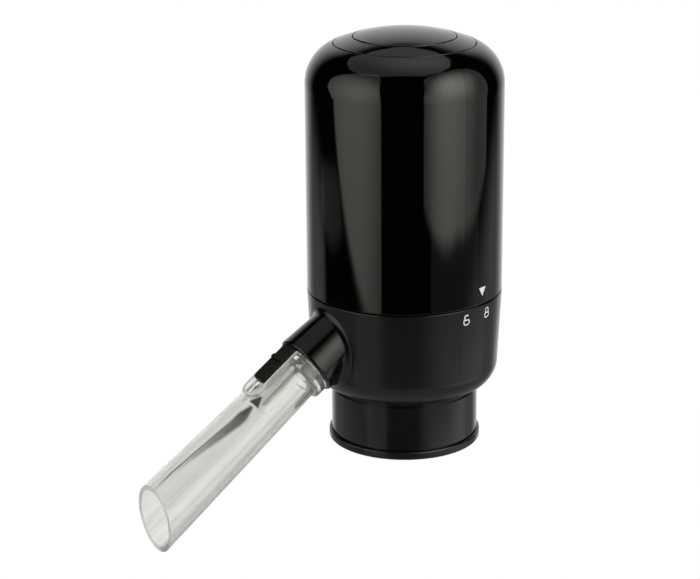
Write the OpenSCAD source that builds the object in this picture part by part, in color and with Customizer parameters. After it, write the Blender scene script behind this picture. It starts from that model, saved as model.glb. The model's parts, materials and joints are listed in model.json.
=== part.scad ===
// Electric wine aerator that sits on an open bottle. A twist-off cover holds the cells, the
// housing below it holds a motor and a gear pump, and a clear spout slants down from a boss.
// Millimetres, +Z up. The origin is on the body's axis, on the face that the bottle's lip
// seals against. The spout points towards -Y.

/* [Body] */
// Outer diameter of the cover, and of the housing at the seam
body_d = 72; // [70:0.5:80]
// Wall of the cover and of the housing
wall = 2.2; // [1.8:0.1:2.6]
// Height of the seam above the bottom of the base ring
seam_h = 58.2; // [57:0.2:66]
// Straight height of the cover's side, from the seam to the shoulder
cover_h = 76.5; // [76:0.5:95]
// Radius of the cover's shoulder
shoulder_r = 15.5; // [14:0.5:16.5]
// Radius of the shallow dome on top of the cover
dome_r = 70; // [64:1:90]
// Gap between the cover and the housing at the seam
seam_gap = 0.25; // [0.2:0.05:0.4]
// Draft of the housing's side, in degrees
housing_draft = 2.85; // [0.5:0.05:4]
// Rounding under the housing
corner_r = 10; // [8:0.5:12]
// Height of the housing's underside above the bottom of the base ring
floor_h = 21; // [20:0.5:22]

/* [Twist lock] */
// Turn from the rest position to the open mark, in degrees
open_turn = 13; // [10:0.5:20]
// Turn from the rest position to the locked mark, in degrees
lock_turn = 5.5; // [3:0.5:8]
// Width of one lug, in degrees
lug_angle = 10; // [6:1:14]
// Height of the ring that guides the cover, above the seam
guide_h = 8; // [7:0.5:10]
// Thickness of the guide ring
guide_t = 2.6; // [2.2:0.1:3.2]

/* [Bottle neck] */
// Outer diameter of the collar that goes over the bottle's lip
collar_d = 54.4; // [52:0.2:56]
// Wall of the collar
collar_wall = 2.6; // [2:0.1:3.2]
// Outer diameter of the base ring
ring_d = 56.4; // [54.8:0.2:60]
// Height of the base ring
ring_h = 3.6; // [3:0.1:5]
// Depth from the bottom of the base ring up to the face that the lip seals against
lip_depth = 15; // [13.5:0.1:16]
// Opening that the bottle's lip passes through
lip_d = 33; // [31:0.5:35]
// Diameter of the stopper, for the bore of the bottle's mouth
stopper_d = 18.5; // [17:0.1:20]
// Length of the stopper's straight part
stopper_len = 12; // [10:0.5:18]
// Length of the stopper's tapered tip
stopper_tip = 4; // [2:0.5:6]
// Bore of the socket that takes the dip tube
dip_bore_d = 6; // [5:0.1:6.4]
// Depth of the socket that takes the dip tube
dip_bore_len = 12; // [8:0.5:15]

/* [Spout] */
// Slope of the spout below the horizontal, in degrees
spout_tilt = 34; // [31:0.5:37]
// Height above the seam where the spout's axis meets the body's axis
spout_rise = 7.6; // [6:0.2:9]
// Length of the boss outside the body's radius, along the spout
boss_len = 10.2; // [8:0.2:14]
// Diameter of the boss at its rim
boss_rim_d = 24; // [23.4:0.2:26]
// Diameter of the boss at its root
boss_root_d = 21.2; // [21:0.2:23]
// Diameter of the spigot that goes into the boss
spigot_d = 18; // [17.4:0.1:18.4]
// Length of the spigot
spigot_len = 15; // [14:0.5:16]
// Diameter of the flange that meets the boss
spout_flange_d = 21.5; // [20.4:0.1:23]
// Length of the flange
spout_flange_len = 4.7; // [3:0.1:6]
// Outer diameter of the spout next to its flange
spout_d = 18.2; // [17.6:0.1:19]
// Widening of the spout towards its outlet, in degrees on each side
spout_taper = 1.5; // [0.5:0.1:2.5]
// Length of the spout on its axis, from the boss to the outlet
spout_len = 77.4; // [60:0.2:95]
// Wall of the spout
spout_wall = 1.6; // [1.2:0.1:2]
// Slant of the outlet off the square, in degrees
outlet_slant = 28.6; // [0:0.1:35]

/* [Slider] */
// Outer width of the track
track_w = 9.4; // [9:0.1:10.4]
// Wall of the track
track_wall = 1.2; // [1:0.1:1.4]
// Height of the track's edge above the spout's axis
track_top = 10.15; // [9.9:0.05:10.4]
// Length of the slider outside the boss
slider_len = 17; // [14:0.5:18]
// Length of the slider's tongue inside the boss
tongue_len = 6.4; // [5:0.2:8]
// Travel of the slider
slider_travel = 4.8; // [2:0.1:4.8]

/* [Button] */
// Outer diameter of the trim ring
bezel_d = 51.4; // [48:0.2:52]
// Diameter of the button's opening
button_d = 37.5; // [34:0.5:40]
// Travel of the button
button_travel = 1.5; // [1:0.1:1.8]
// Diameter of the button's stem
stem_d = 6; // [5:0.2:7]

/* [Pump and motor] */
// Module of the pump's gears, in a body of the usual diameter
gear_module = 1; // [0.95:0.01:1.05]
// Teeth on each gear
gear_teeth = 12; // [11:1:13]
// Width of the gears
gear_w = 6.8; // [5:0.1:7.4]
// Diameter of the motor's can, in a body of the usual diameter
motor_d = 24.4; // [22:0.1:26]
// Length of the motor's can
motor_len = 30; // [26:0.5:34]
// Diameter of the motor's shaft
shaft_d = 2; // [1.8:0.1:2.6]
// Outer diameter of the hoses
hose_d = 7.8; // [7.2:0.1:8.2]
// Outer diameter of the hose nipples
nipple_d = 4.4; // [4:0.1:4.8]

/* [Cells] */
// Diameter of a cell, in a body of the usual diameter
cell_d = 14.2; // [10.2:0.1:14.5]
// Length of a cell, with its button
cell_len = 50.5; // [44:0.1:51]
// Compressed height of a contact spring
spring_h = 3.5; // [3:0.1:5]

/* [Hidden] */
$fn = 96;
eps = 0.01;
over = 1;

// Clearances
slide_gap = 0.3;
turn_gap = 0.05;
fit_gap = 0.1;
cover_gap = 0.4;
rest_gap = 0.2;

// Rounding of edges
seam_round = 0.4;
rim_round = 0.9;
flange_round = 0.8;
trim_round = 0.3;
button_round = 0.4;

// Heights of the body
body_r = body_d / 2;
body_usual_d = 72;
body_scale = body_d / body_usual_d;
z_base = -lip_depth;
z_floor = z_base + floor_h;
z_floor_top = z_floor + wall;
z_seam = z_base + seam_h;
z_cover = z_seam + seam_gap;
z_shoulder = z_cover + cover_h;
z_corner = z_floor + corner_r;
z_dome = z_shoulder - sqrt(pow(dome_r - shoulder_r, 2) - pow(body_r - shoulder_r, 2));
z_top = z_dome + dome_r;

// Height of the dome at a distance from the body's axis
function dome_z(r) = z_dome + sqrt(dome_r * dome_r - r * r);

// Twist lock
lug_count = 3;
lug_first = 60;
lug_h = 2;
lug_depth = 1.4;
lug_play = 1.5;
lug_up = 3;
lug_z = z_seam + lug_up;
guide_root = 2;
guide_r = body_r - wall - cover_gap;
guide_r_in = guide_r - guide_t;

// Neck, stopper and inlet
collar_r = collar_d / 2;
collar_r_in = collar_r - collar_wall;
shelf_t = 2.5;
groove_h = 1.1;
groove_depth = 0.6;
ring_round = 0.6;
ring_groove_h = 0.5;
ring_groove = 0.5;
ring_lip_h = 3;
ring_lip_t = 0.9;
z_ring_top = z_base + ring_h;
collar_screws_n = 3;
collar_screw_first = 60;
collar_boss_r = 2.4;
collar_screw_r = collar_r_in - collar_boss_r - rest_gap;
m3_r = 1.25;
m3_head_r = 2.5;
m3_head_h = 1.8;
stopper_flange_t = 2.5;
stopper_flange_r = collar_screw_r - collar_boss_r - slide_gap;
stopper_tip_draft = 1.2;
inlet_wall = 1.5;
inlet_r = dip_bore_d / 2 + inlet_wall;
z_inlet_end = -stopper_len - stopper_tip;
inlet_step = 0.8;
inlet_bore_r = dip_bore_d / 2 - inlet_step;
inlet_hole_gap = 2;
nipple_r = nipple_d / 2;
nipple_wall = 0.8;
nipple_bore_r = nipple_r - nipple_wall;
nipple_len = 7;
z_elbow = z_floor_top + hose_d / 2 + slide_gap;

// Spout, boss and slider, along the spout's axis from where it meets the body's axis
z_spout = z_seam + spout_rise;
s_rim = body_r / cos(spout_tilt) + boss_len;
spigot_r = spigot_d / 2;
boss_bore_r = spigot_r + slide_gap;
s_spigot = s_rim - spigot_len;
bore_room = 2.4;
s_bore = s_spigot - bore_room;
boss_end_t = 2;
s_boss = s_bore - boss_end_t;
s_flange = s_rim + slide_gap;
s_tube = s_flange + spout_flange_len;
s_outlet = s_rim + spout_len;
tube_reach = s_outlet - s_tube + spout_d;
spout_r = spout_d / 2;
spout_r_end = spout_r + tube_reach * tan(spout_taper);
spigot_wall = 2.8;
spigot_bore_r = spigot_r - spigot_wall;
throat_out = 0.8;
s_throat = s_rim + throat_out;
oring_r = 0.9;
oring_in = 4.6;
oring_play = 0.2;
oring_s = s_spigot + oring_in;
oring_centre_r = boss_bore_r - turn_gap - oring_r;
track_round = 4;
track_in_w = track_w - 2 * track_wall;
track_in_round = track_round - track_wall;
track_end_gap = 1;
s_slider_end = s_rim + slider_len;
s_track_end = s_slider_end + slider_travel + track_end_gap + track_wall;
track_sink = 0.35;
track_root = 3;
track_floor = spout_r - track_sink;
slider_w = track_in_w - 2 * rest_gap;
slider_bottom = track_floor + rest_gap;
tongue_proud = 0.55;
tongue_top = track_top + tongue_proud;
slider_proud = 1;
slider_top = track_top + slider_proud;
ridge_in = 5.6;
ridge_len = 1.6;
ridge_h = 0.6;
slider_round = 1.8;
s_tongue = s_rim - tongue_len;
shelf_u = 4.4;
shelf_plate = 1.2;
shelf_in = 0.5;
shelf_s = s_flange + shelf_in;
shelf_len = 22;
shelf_half = sqrt(pow(spout_r - spout_wall / 2, 2) - shelf_u * shelf_u);
air_stop_half = 6;
air_stop_t = 1.5;
air_hole_r = 1.1;
air_hole_s = s_slider_end + slider_travel / 2;
bore_step = 0.3;
bore_step_in = 24;
s_step = s_rim + bore_step_in;
nozzle_in = 8.4;
nozzle_disc_s = s_spigot + nozzle_in;
nozzle_disc_t = 3;
nozzle_u = -2.2;
nozzle_r = 3.4;
nozzle_bore_r = 2.4;
nozzle_len = 7;

// Button, trim ring and switch
bezel_r = bezel_d / 2;
bezel_depth = 2.6;
ledge_t = 2.4;
ledge_w = 2.5;
z_ledge = dome_z(bezel_r) - bezel_depth;
button_r = button_d / 2;
cup_t = 1.7;
cup_r = button_r + cup_t;
cup_floor_t = 2;
button_skirt_h = 7.5;
button_skirt_t = 2;
button_t = 3;
z_button_edge = dome_z(button_r);
z_button_under = z_button_edge - button_t;
z_cup_floor = z_button_edge - button_skirt_h - button_travel - slide_gap;
stem_r = stem_d / 2;
stem_gap = 0.15;
clip_t = 1;
clip_w = 2;
clip_r = stem_r + clip_w;
clip_groove = 0.5;
z_clip = z_cup_floor - cup_floor_t - slide_gap - clip_t;
button_spring_r = 6;
button_wire_r = 0.4;
button_turns = 4;

// Inner frame, motor and pump
frame_gap = 0.5;
frame_r = guide_r_in - frame_gap;
frame_t = 2.5;
frame_drop = 7.2;
z_frame = z_seam - frame_drop;
z_motor = z_frame + frame_t;
motor_r = motor_d / 2 * body_scale;
motor_boss_r = 3.9;
motor_boss_h = frame_t - rest_gap;
can_t = 1;
can_r_in = motor_r - can_t;
bell_h = 3;
bell_plug = 2;
bell_skin = 0.4;
magnet_t = 2.5;
magnet_angle = 130;
rotor_gap = 0.4;
rotor_r = can_r_in - fit_gap - magnet_t - rotor_gap;
rotor_poles = 3;
rotor_arm_w = 3.2;
rotor_shoe_t = 1.6;
rotor_shoe_angle = 84;
rotor_core_r = 2.8;
rotor_lift = 5;
rotor_room = 15;
rotor_h = motor_len - rotor_room;
commutator_h = 5;
sleeve_t = 1.6;
sleeve_r_in = motor_r + rest_gap;
sleeve_r = sleeve_r_in + sleeve_t;
hook_t = 1.3;
hook_angle = 20;
frame_post_r = 3.4;
frame_post_in = 2.4;
frame_post_circle = frame_r - frame_post_r - frame_post_in;
frame_screw_in = 9;
mount_post_r = 3.2;
mount_post_circle = frame_r - mount_post_r - fit_gap;
mount_post_root = 0.4;
mount_hole_depth = 12;
mount_post_angles = [35, 145, 215, 325];
shaft_r = shaft_d / 2;
gear_side_gap = 0.1;
gasket_t = 0.6;
pump_cover_t = 3;
pump_top_t = 5;
pump_h = gear_w + 2 * gear_side_gap - gasket_t + pump_top_t;
z_pump_body = z_frame - pump_h;
z_gasket = z_pump_body - gasket_t;
z_pump_cover = z_gasket - pump_cover_t;
z_gear = z_gasket + gear_side_gap;
z_port = z_gear + gear_w / 2;
tooth_size = gear_module * body_scale;
gear_centre = tooth_size * gear_teeth;
pressure_angle = 20;
addendum = 0.9 * tooth_size;
dedendum = 1.2 * tooth_size;
tooth_play = 0.9;
flank_steps = 4;
gear_tip_r = gear_centre / 2 + addendum;
pocket_r = gear_tip_r + rest_gap;
pump_wall = 2.6;
pump_r = pocket_r + pump_wall;
pump_ear_r = 3.2;
pump_ear_x = 4;
pump_ear_out = 1.5;
pump_ear_y = pump_r + pump_ear_out;
pump_screw_r = 1.45;
pump_head_r = 2.7;
pump_head_h = 2.2;
idler_pin_r = 1.5;
idler_pin_in = 1.8;
seal_r = 3;
seal_h = 2.9;
nipple_reach = 6.5;
hose_r = hose_d / 2;
hose_gap = 0.25;
hose_bore_r = nipple_r + hose_gap;
hose_end_gap = 0.6;
hose_reach = 22 * body_scale;
hose_sides = 10;
hose_steps = 14;
boss_nipple_len = 3.4;

// Cells, contacts and board
contact_t = 0.5;
contact_r = 4.5;
link_w = 3;
cell_r = cell_d / 2 * body_scale;
cell_inset = 0.7;
cell_circle = frame_r - cell_r - cell_inset;
cell_angles = [45, 135, 225, 315];
cell_cap_r = 2.75;
cell_cap_h = 1.5;
cell_gap = 0.25;
cradle_t = 1.2;
cradle_h = 28;
cell_floor_t = 2;
cell_floor_up = 3.8;
z_cell_floor = z_seam + cell_floor_up;
z_contact = z_cell_floor + contact_t;
z_cap = z_contact + spring_h + cell_len + contact_t;
cap_t = 2.5;
cap_hole_r = 9;
cap_hole_depth = 10;
cap_screw_in = 8;
head_gap = 0.5;
board_r = 22;
board_t = 1.6;
board_post_h = 3.5;
board_post_r = 2.6;
board_post_circle = 17;
board_post_angles = [90, 210, 330];
z_board = z_cap + cap_t + board_post_h;
m2_r = 0.85;
m2_head_r = 1.9;
m2_head_h = 1.4;
switch_w = 12;
switch_h = 3.5;
switch_floor_t = 0.2;
plunger_r = 1.75;
plunger_out = 1.9;
z_switch = z_board + board_t;
z_plunger = z_switch + switch_h + plunger_out;
contact_wire_r = 0.3;
contact_turns = 3;
contact_coil_in = 0.6;
contact_coil_narrow = 1.8;
helix_steps = 8;
wire_sides = 6;
lead_r = 0.6;
lead_sides = 8;
lead_steps = 10;
lead_x = 7;
lead_bow = 1.2;
terminal = [0.6, 2.4, 2.6];

// Shared shapes

// Places children along the spout: +Z outwards along its axis, +Y up from it
module at_spout() translate([0, 0, z_spout]) rotate([90 + spout_tilt, 0, 0]) children();

// Copies children round the body's axis at a radius
module around(angles, radius) for (a = angles) rotate(a) translate([radius, 0, 0]) children();

// Upright cylinder between two heights
module post(r, z0, z1) translate([0, 0, z0]) cylinder(r = r, h = z1 - z0);

// Pan head screw with its head above z and its shank below
module screw(z, r, len, head_r, head_h) {
    post(head_r, z, z + head_h);
    post(r, z - len, z + eps);
}

// Angles that divide a full turn
function spread(n, first = 0) = [for (i = [0 : n - 1]) first + i * 360 / n];

// Half of a revolved taper between two heights, with its upper edge rounded
module taper_outline(x0, z0, x1, z1, edge) {
    lean = atan2(x1 - x0, z1 - z0);
    cx = x1 - edge * (tan(lean) + 1 / cos(lean));
    cz = z1 - edge;
    polygon([[0, z0], [x0, z0], [cx + edge * cos(lean), cz - edge * sin(lean)], [cx, cz],
        [cx, z1], [0, z1]]);
    if (edge > 0) translate([cx, cz]) circle(r = edge);
}

// Half of a revolved cover outline, set in from the outside by inset, from a height upwards
module cover_outline(inset, z_low = z_cover, edge = 0) {
    r = body_r - inset;
    arc_r = shoulder_r - inset;
    lean = asin((body_r - shoulder_r) / (dome_r - shoulder_r));
    far = dome_r + over;
    translate([0, z_low]) square([r - edge, z_shoulder - z_low]);
    translate([0, z_low + edge]) square([r, z_shoulder - z_low - edge]);
    if (edge > 0) translate([r - edge, z_low + edge]) circle(r = edge);
    translate([body_r - shoulder_r, z_shoulder]) circle(r = arc_r);
    intersection() {
        translate([0, z_dome]) circle(r = dome_r - inset);
        polygon([[0, z_cover], [body_r - shoulder_r, z_cover], [body_r - shoulder_r, z_shoulder],
            [far * sin(lean), z_dome + far * cos(lean)], [0, z_dome + far]]);
    }
}

// Half of a revolved ring under the dome, with its upper edges rounded
module dome_outline(r0, r1, z_low, edge0, edge1) {
    x0 = edge0 > 0 ? (r0 + edge0) * dome_r / (dome_r - edge0) : r0;
    x1 = (r1 - edge1) * dome_r / (dome_r - edge1);
    z0 = z_dome + sqrt(pow(dome_r - edge0, 2) - pow(r0 + edge0, 2));
    z1 = z_dome + sqrt(pow(dome_r - edge1, 2) - pow(r1 - edge1, 2));
    intersection() {
        translate([0, z_dome]) circle(r = dome_r);
        translate([x0, z_low]) square([x1 - x0, z_top - z_low]);
    }
    translate([r0, z_low]) square([r1 - r0, min(z0, z1) - z_low]);
    if (edge0 > 0) {
        translate([r0, z_low]) square([x0 - r0, z0 - z_low]);
        translate([r0 + edge0, z0]) circle(r = edge0);
    }
    translate([r1 - edge1, z1]) circle(r = edge1);
}

// Half of a revolved housing outline, set in from the outside by inset, up to a height
module housing_outline(inset, z_end = z_seam, edge = 0) {
    arc_r = corner_r - inset;
    arc_x = body_r - corner_r / cos(housing_draft) - (z_seam - z_corner) * tan(housing_draft);
    x_low = arc_x + arc_r * cos(housing_draft);
    z_low = z_corner - arc_r * sin(housing_draft);
    x_end = body_r - inset / cos(housing_draft) + (z_end - z_seam) * tan(housing_draft);
    translate([0, z_floor + inset]) square([arc_x, arc_r]);
    translate([arc_x, z_corner]) circle(r = arc_r);
    taper_outline(x_low, z_low, x_end, z_end, edge);
}

// Ring sector between two radii, two heights and two angles
module sector(r0, r1, z0, z1, a0, a1)
    rotate_extrude(angle = a1 - a0, start = a0)
        translate([r0, z0]) square([r1 - r0, z1 - z0]);

// Distance of the boss's end wall from the body's axis, at a height
function end_wall_y(z) = -(s_boss + (z - z_spout) * sin(spout_tilt)) / cos(spout_tilt);

// Rings of points around a path, for sweeping: ref is a direction that the path never takes
function unit(v) = v / norm(v);
function heading(p, i) = unit(p[min(i + 1, len(p) - 1)] - p[max(i - 1, 0)]);
function path_ring(p, i, ref, r, sides) = let (
        t = heading(p, i),
        a = unit(cross(t, ref)),
        b = cross(t, a))
    [for (k = [0 : sides - 1]) p[i] + r * (a * cos(k * 360 / sides) + b * sin(k * 360 / sides))];
function ring_faces(first, second, sides) = [for (k = [0 : sides - 1])
    let (n = (k + 1) % sides)
    each [[first + k, second + k, first + n], [first + n, second + k, second + n]]];

// Solid rod along a path
module swept_rod(path, r, sides, ref = [0, 0, 1]) {
    n = len(path);
    points = [for (i = [0 : n - 1]) each path_ring(path, i, ref, r, sides)];
    first = [for (k = [1 : sides - 2]) [0, k, k + 1]];
    last = [for (k = [1 : sides - 2]) [(n - 1) * sides, (n - 1) * sides + k + 1, (n - 1) * sides + k]];
    sides_f = [for (i = [0 : n - 2]) each ring_faces(i * sides, (i + 1) * sides, sides)];
    polyhedron(points, concat(first, sides_f, last));
}

// Tube along a path, with a bore
module swept_tube(path, r, bore_r, sides, ref) {
    n = len(path);
    inner = n * sides;
    points = concat(
        [for (i = [0 : n - 1]) each path_ring(path, i, ref, r, sides)],
        [for (i = [0 : n - 1]) each path_ring(path, i, ref, bore_r, sides)]);
    outside = [for (i = [0 : n - 2]) each ring_faces(i * sides, (i + 1) * sides, sides)];
    inside = [for (i = [0 : n - 2]) each ring_faces(inner + (i + 1) * sides, inner + i * sides, sides)];
    first = ring_faces(inner, 0, sides);
    last = ring_faces((n - 1) * sides, inner + (n - 1) * sides, sides);
    polyhedron(points, concat(outside, inside, first, last));
}

// Points of a helix that may narrow upwards
function helix(r0, r1, z0, z1, turns) = [for (i = [0 : helix_steps * turns])
    let (f = i / (helix_steps * turns), a = i * 360 / helix_steps, r = r0 + (r1 - r0) * f)
    [r * cos(a), r * sin(a), z0 + (z1 - z0) * f]];

// Least gap between the turns of a helix of wire, point to point
function coil_gap(p, wire_r) = min([for (i = [0 : len(p) - 1], j = [0 : len(p) - 1])
    if (j - i > helix_steps / 2) norm(p[i] - p[j])]) - 2 * wire_r;

// Points of a smooth curve between two ends, with a handle at each
function curve(a, b, c, d, steps) = [for (i = [0 : steps]) let (t = i / steps, s = 1 - t)
    s * s * s * a + 3 * s * s * t * b + 3 * s * t * t * c + t * t * t * d];

// Cover body

module cover_shell() color("#0b0b0c") {
    difference() {
        union() {
            difference() {
                rotate_extrude() cover_outline(0, z_cover, seam_round);
                rotate_extrude() cover_outline(wall, z_cover - over);
            }
            intersection() {
                rotate_extrude() cover_outline(wall / 2);
                post(bezel_r + ledge_w, z_ledge - ledge_t, z_top);
            }
        }
        post(bezel_r, z_ledge, z_top + over);
        translate([0, 0, dome_z(bezel_r) - trim_round])
            cylinder(r1 = bezel_r, r2 = bezel_r + over, h = over);
        post(cup_r + cover_gap, z_ledge - ledge_t - over, z_ledge + over);
    }
    for (a = spread(lug_count, lug_first))
        sector(body_r - wall - cover_gap - lug_depth, body_r - wall / 2, lug_z, lug_z + lug_h,
            a - lug_angle / 2, a + lug_angle / 2);
}

module button_bezel() color("#141415") {
    r_out = bezel_r - rest_gap;
    rotate_extrude() {
        dome_outline(button_r, r_out, z_ledge, trim_round, trim_round);
        translate([button_r, z_cup_floor]) square([cup_t, z_ledge - z_cup_floor + over]);
        translate([stem_r + stem_gap, z_cup_floor - cup_floor_t])
            square([cup_r - stem_r - stem_gap, cup_floor_t]);
    }
}

module power_button() color("#1a1b1d") {
    r_out = button_r - slide_gap;
    z_skirt = z_button_edge - button_skirt_h;
    rotate_extrude() difference() {
        union() {
            dome_outline(0, r_out, z_button_under, 0, button_round);
            translate([r_out - button_skirt_t, z_skirt])
                square([button_skirt_t, z_button_under - z_skirt + over]);
            translate([0, z_plunger + turn_gap])
                square([stem_r, z_button_under - z_plunger + over]);
        }
        translate([stem_r - clip_groove, z_clip - turn_gap])
            square([over, clip_t + 2 * turn_gap]);
    }
}

button_coil = helix(button_spring_r, button_spring_r, z_cup_floor + button_wire_r + turn_gap,
    z_button_under - button_wire_r - turn_gap, button_turns);
echo(button_spring_gap = coil_gap(button_coil, button_wire_r));

module button_spring() color("silver") swept_rod(button_coil, button_wire_r, wire_sides);

module button_clip() color("silver") difference() {
    post(clip_r, z_clip, z_clip + clip_t);
    post(stem_r - clip_groove + turn_gap, z_clip - over, z_clip + clip_t + over);
    translate([0, -stem_r / 2, z_clip - over]) cube([clip_r + over, stem_r, clip_t + 2 * over]);
}

// Housing and neck

// Slanted boss, before it is bored
module boss() at_spout() rotate_extrude()
    taper_outline(boss_root_d / 2, s_boss, boss_rim_d / 2, s_rim, rim_round);

// Bore of the boss and the slot for the slider's tongue
module boss_cuts() at_spout() {
    post(boss_bore_r, s_bore, s_rim + over);
    slot_w = slider_w + 2 * slide_gap;
    translate([-slot_w / 2, 0, s_tongue - slide_gap])
        cube([slot_w, tongue_top + slide_gap, tongue_len + over]);
}

// Where the pump's ports lie, between the two gears
port_x = gear_centre / 2;
hose_back_y = end_wall_y(z_port - hose_r) + slide_gap;
boss_nipple_y = hose_back_y + boss_nipple_len;

module lower_housing() color("#242424") difference() {
    union() {
        difference() {
            rotate_extrude() housing_outline(0, z_seam, seam_round);
            rotate_extrude() housing_outline(wall, z_seam + over);
        }
        rotate_extrude() {
            translate([guide_r_in, z_seam - guide_root])
                square([body_r - wall / 2 - guide_r_in, guide_root]);
            translate([guide_r_in, z_seam - eps]) square([guide_t, guide_h]);
        }
        around(mount_post_angles, mount_post_circle)
            post(mount_post_r, z_floor_top - mount_post_root, z_frame);
        boss();
        translate([port_x, boss_nipple_y, z_port]) rotate([90, 0, 0])
            cylinder(r = nipple_r, h = boss_nipple_y - end_wall_y(z_port) + boss_end_t / 2);
    }
    boss_cuts();
    translate([port_x, boss_nipple_y + over, z_port]) rotate([90, 0, 0])
        cylinder(r = nipple_bore_r, h = boss_nipple_y + over - end_wall_y(z_port) + 2 * boss_end_t);
    post(inlet_r + inlet_hole_gap, z_floor - over, z_floor_top + over);
    around(mount_post_angles, mount_post_circle)
        post(m3_r + turn_gap, z_frame - mount_hole_depth, z_frame + over);
    around(spread(collar_screws_n, collar_screw_first), collar_screw_r) {
        post(m3_r + fit_gap, z_floor - over, z_floor_top + over);
        post(m3_head_r + fit_gap, z_floor_top + eps, z_floor_top + m3_head_h + over);
    }
    for (a = spread(lug_count, lug_first)) {
        low = a - lug_angle / 2 - open_turn - lug_play;
        sector(guide_r - lug_depth - slide_gap, guide_r + over, lug_z - slide_gap,
            lug_z + lug_h + slide_gap, low, a + lug_angle / 2 + lock_turn + lug_play);
        sector(guide_r - lug_depth - slide_gap, guide_r + over, lug_z - slide_gap,
            z_seam + guide_h + over, low, low + lug_angle + 2 * lug_play);
    }
}

// Half of the revolved collar, with the shelf that stops the lip and a groove at its top
module collar_outline() {
    z_groove = z_floor - groove_h;
    r_groove = collar_r - groove_depth;
    polygon([[collar_r_in, z_ring_top], [collar_r, z_ring_top], [collar_r, z_groove],
        [r_groove, z_groove], [r_groove, z_floor], [collar_r_in, z_floor], [collar_r_in, 0],
        [lip_d / 2, 0], [lip_d / 2, -shelf_t], [collar_r_in, -shelf_t]]);
}

module bottle_collar() color("#1f2021") difference() {
    union() {
        rotate_extrude() collar_outline();
        around(spread(collar_screws_n, collar_screw_first), collar_screw_r)
            translate([0, 0, -shelf_t / 2]) linear_extrude(z_floor + shelf_t / 2 - fit_gap) {
                circle(r = collar_boss_r);
                translate([0, -collar_boss_r / 2]) square([collar_boss_r + over, collar_boss_r]);
            }
    }
    around(spread(collar_screws_n, collar_screw_first), collar_screw_r)
        post(m3_r + turn_gap, -shelf_t + over, z_floor + over);
}

module base_ring() color("#141415") rotate_extrude() {
    r_in = collar_r_in - fit_gap - ring_lip_t;
    r_out = ring_d / 2;
    rim_h = ring_h - ring_groove_h;
    translate([r_in, z_base]) square([r_out - ring_round - r_in, rim_h]);
    translate([r_in, z_base + ring_round]) square([r_out - r_in, rim_h - 2 * ring_round]);
    for (z = [ring_round, rim_h - ring_round])
        translate([r_out - ring_round, z_base + z]) circle(r = ring_round);
    translate([r_in, z_base]) square([collar_r - ring_groove - r_in, ring_h]);
    translate([r_in, z_base]) square([ring_lip_t, ring_h + ring_lip_h]);
}

module collar_screws() color("silver")
    around(spread(collar_screws_n, collar_screw_first), collar_screw_r)
        screw(z_floor_top, m3_r, z_floor_top, m3_head_r, m3_head_h);

module bottle_stopper() color("#3a3a3c") difference() {
    union() {
        post(stopper_flange_r, 0, stopper_flange_t);
        post(stopper_d / 2, -stopper_len, eps);
        translate([0, 0, z_inlet_end])
            cylinder(r1 = stopper_d / 2 - stopper_tip_draft, r2 = stopper_d / 2, h = stopper_tip);
    }
    post(inlet_r + turn_gap, z_inlet_end - over, stopper_flange_t + over);
}

module inlet_fitting() color("#2b2b2d") difference() {
    union() {
        post(inlet_r, z_inlet_end, z_elbow + nipple_r + nipple_wall);
        post(stopper_flange_r, stopper_flange_t, z_floor);
        translate([0, 0, z_elbow]) rotate([-90, 0, 0])
            cylinder(r = nipple_r, h = inlet_r + nipple_len);
    }
    post(dip_bore_d / 2, z_inlet_end - over, z_inlet_end + dip_bore_len);
    post(inlet_bore_r, z_inlet_end, z_elbow);
    translate([0, 0, z_elbow]) sphere(r = inlet_bore_r);
    translate([0, 0, z_elbow]) rotate([-90, 0, 0])
        cylinder(r = nipple_bore_r, h = inlet_r + nipple_len + over);
}

// Pump

// Point at a radius and an angle
function polar(r, a) = [r * cos(a), r * sin(a)];
// Involute angle, in degrees, for a pressure angle
function involute(a) = tan(a) * 180 / PI - a;
// Half the angle that a tooth takes up at a radius
function half_tooth(r) = let (base = gear_centre / 2 * cos(pressure_angle))
    90 / gear_teeth - tooth_play + involute(pressure_angle)
        - (r > base ? involute(acos(base / r)) : 0);

// Outline of a spur gear with involute flanks
module gear_outline() {
    pitch_r = gear_centre / 2;
    base_r = pitch_r * cos(pressure_angle);
    radii = concat([pitch_r - dedendum],
        [for (i = [0 : flank_steps]) base_r + (gear_tip_r - base_r) * i / flank_steps]);
    last = len(radii) - 1;
    polygon([for (tooth = spread(gear_teeth)) each concat(
        [for (i = [0 : last]) polar(radii[i], tooth - half_tooth(radii[i]))],
        [for (i = [last : -1 : 0]) polar(radii[i], tooth + half_tooth(radii[i]))])]);
}

// Outline of the pump's casing, with its four screw ears
module pump_outline() {
    for (x = [0, gear_centre]) translate([x, 0]) circle(r = pump_r);
    translate([0, -pump_r]) square([gear_centre, 2 * pump_r]);
    at_ears() circle(r = pump_ear_r);
}

// Copies children at the pump's screw ears
module at_ears() for (x = [-pump_ear_x, gear_centre + pump_ear_x], y = [-1, 1])
    translate([x, y * pump_ear_y, 0]) children();

// The two gear pockets
module gear_pockets(z0, z1) for (x = [0, gear_centre]) translate([x, 0, 0]) post(pocket_r, z0, z1);

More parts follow.
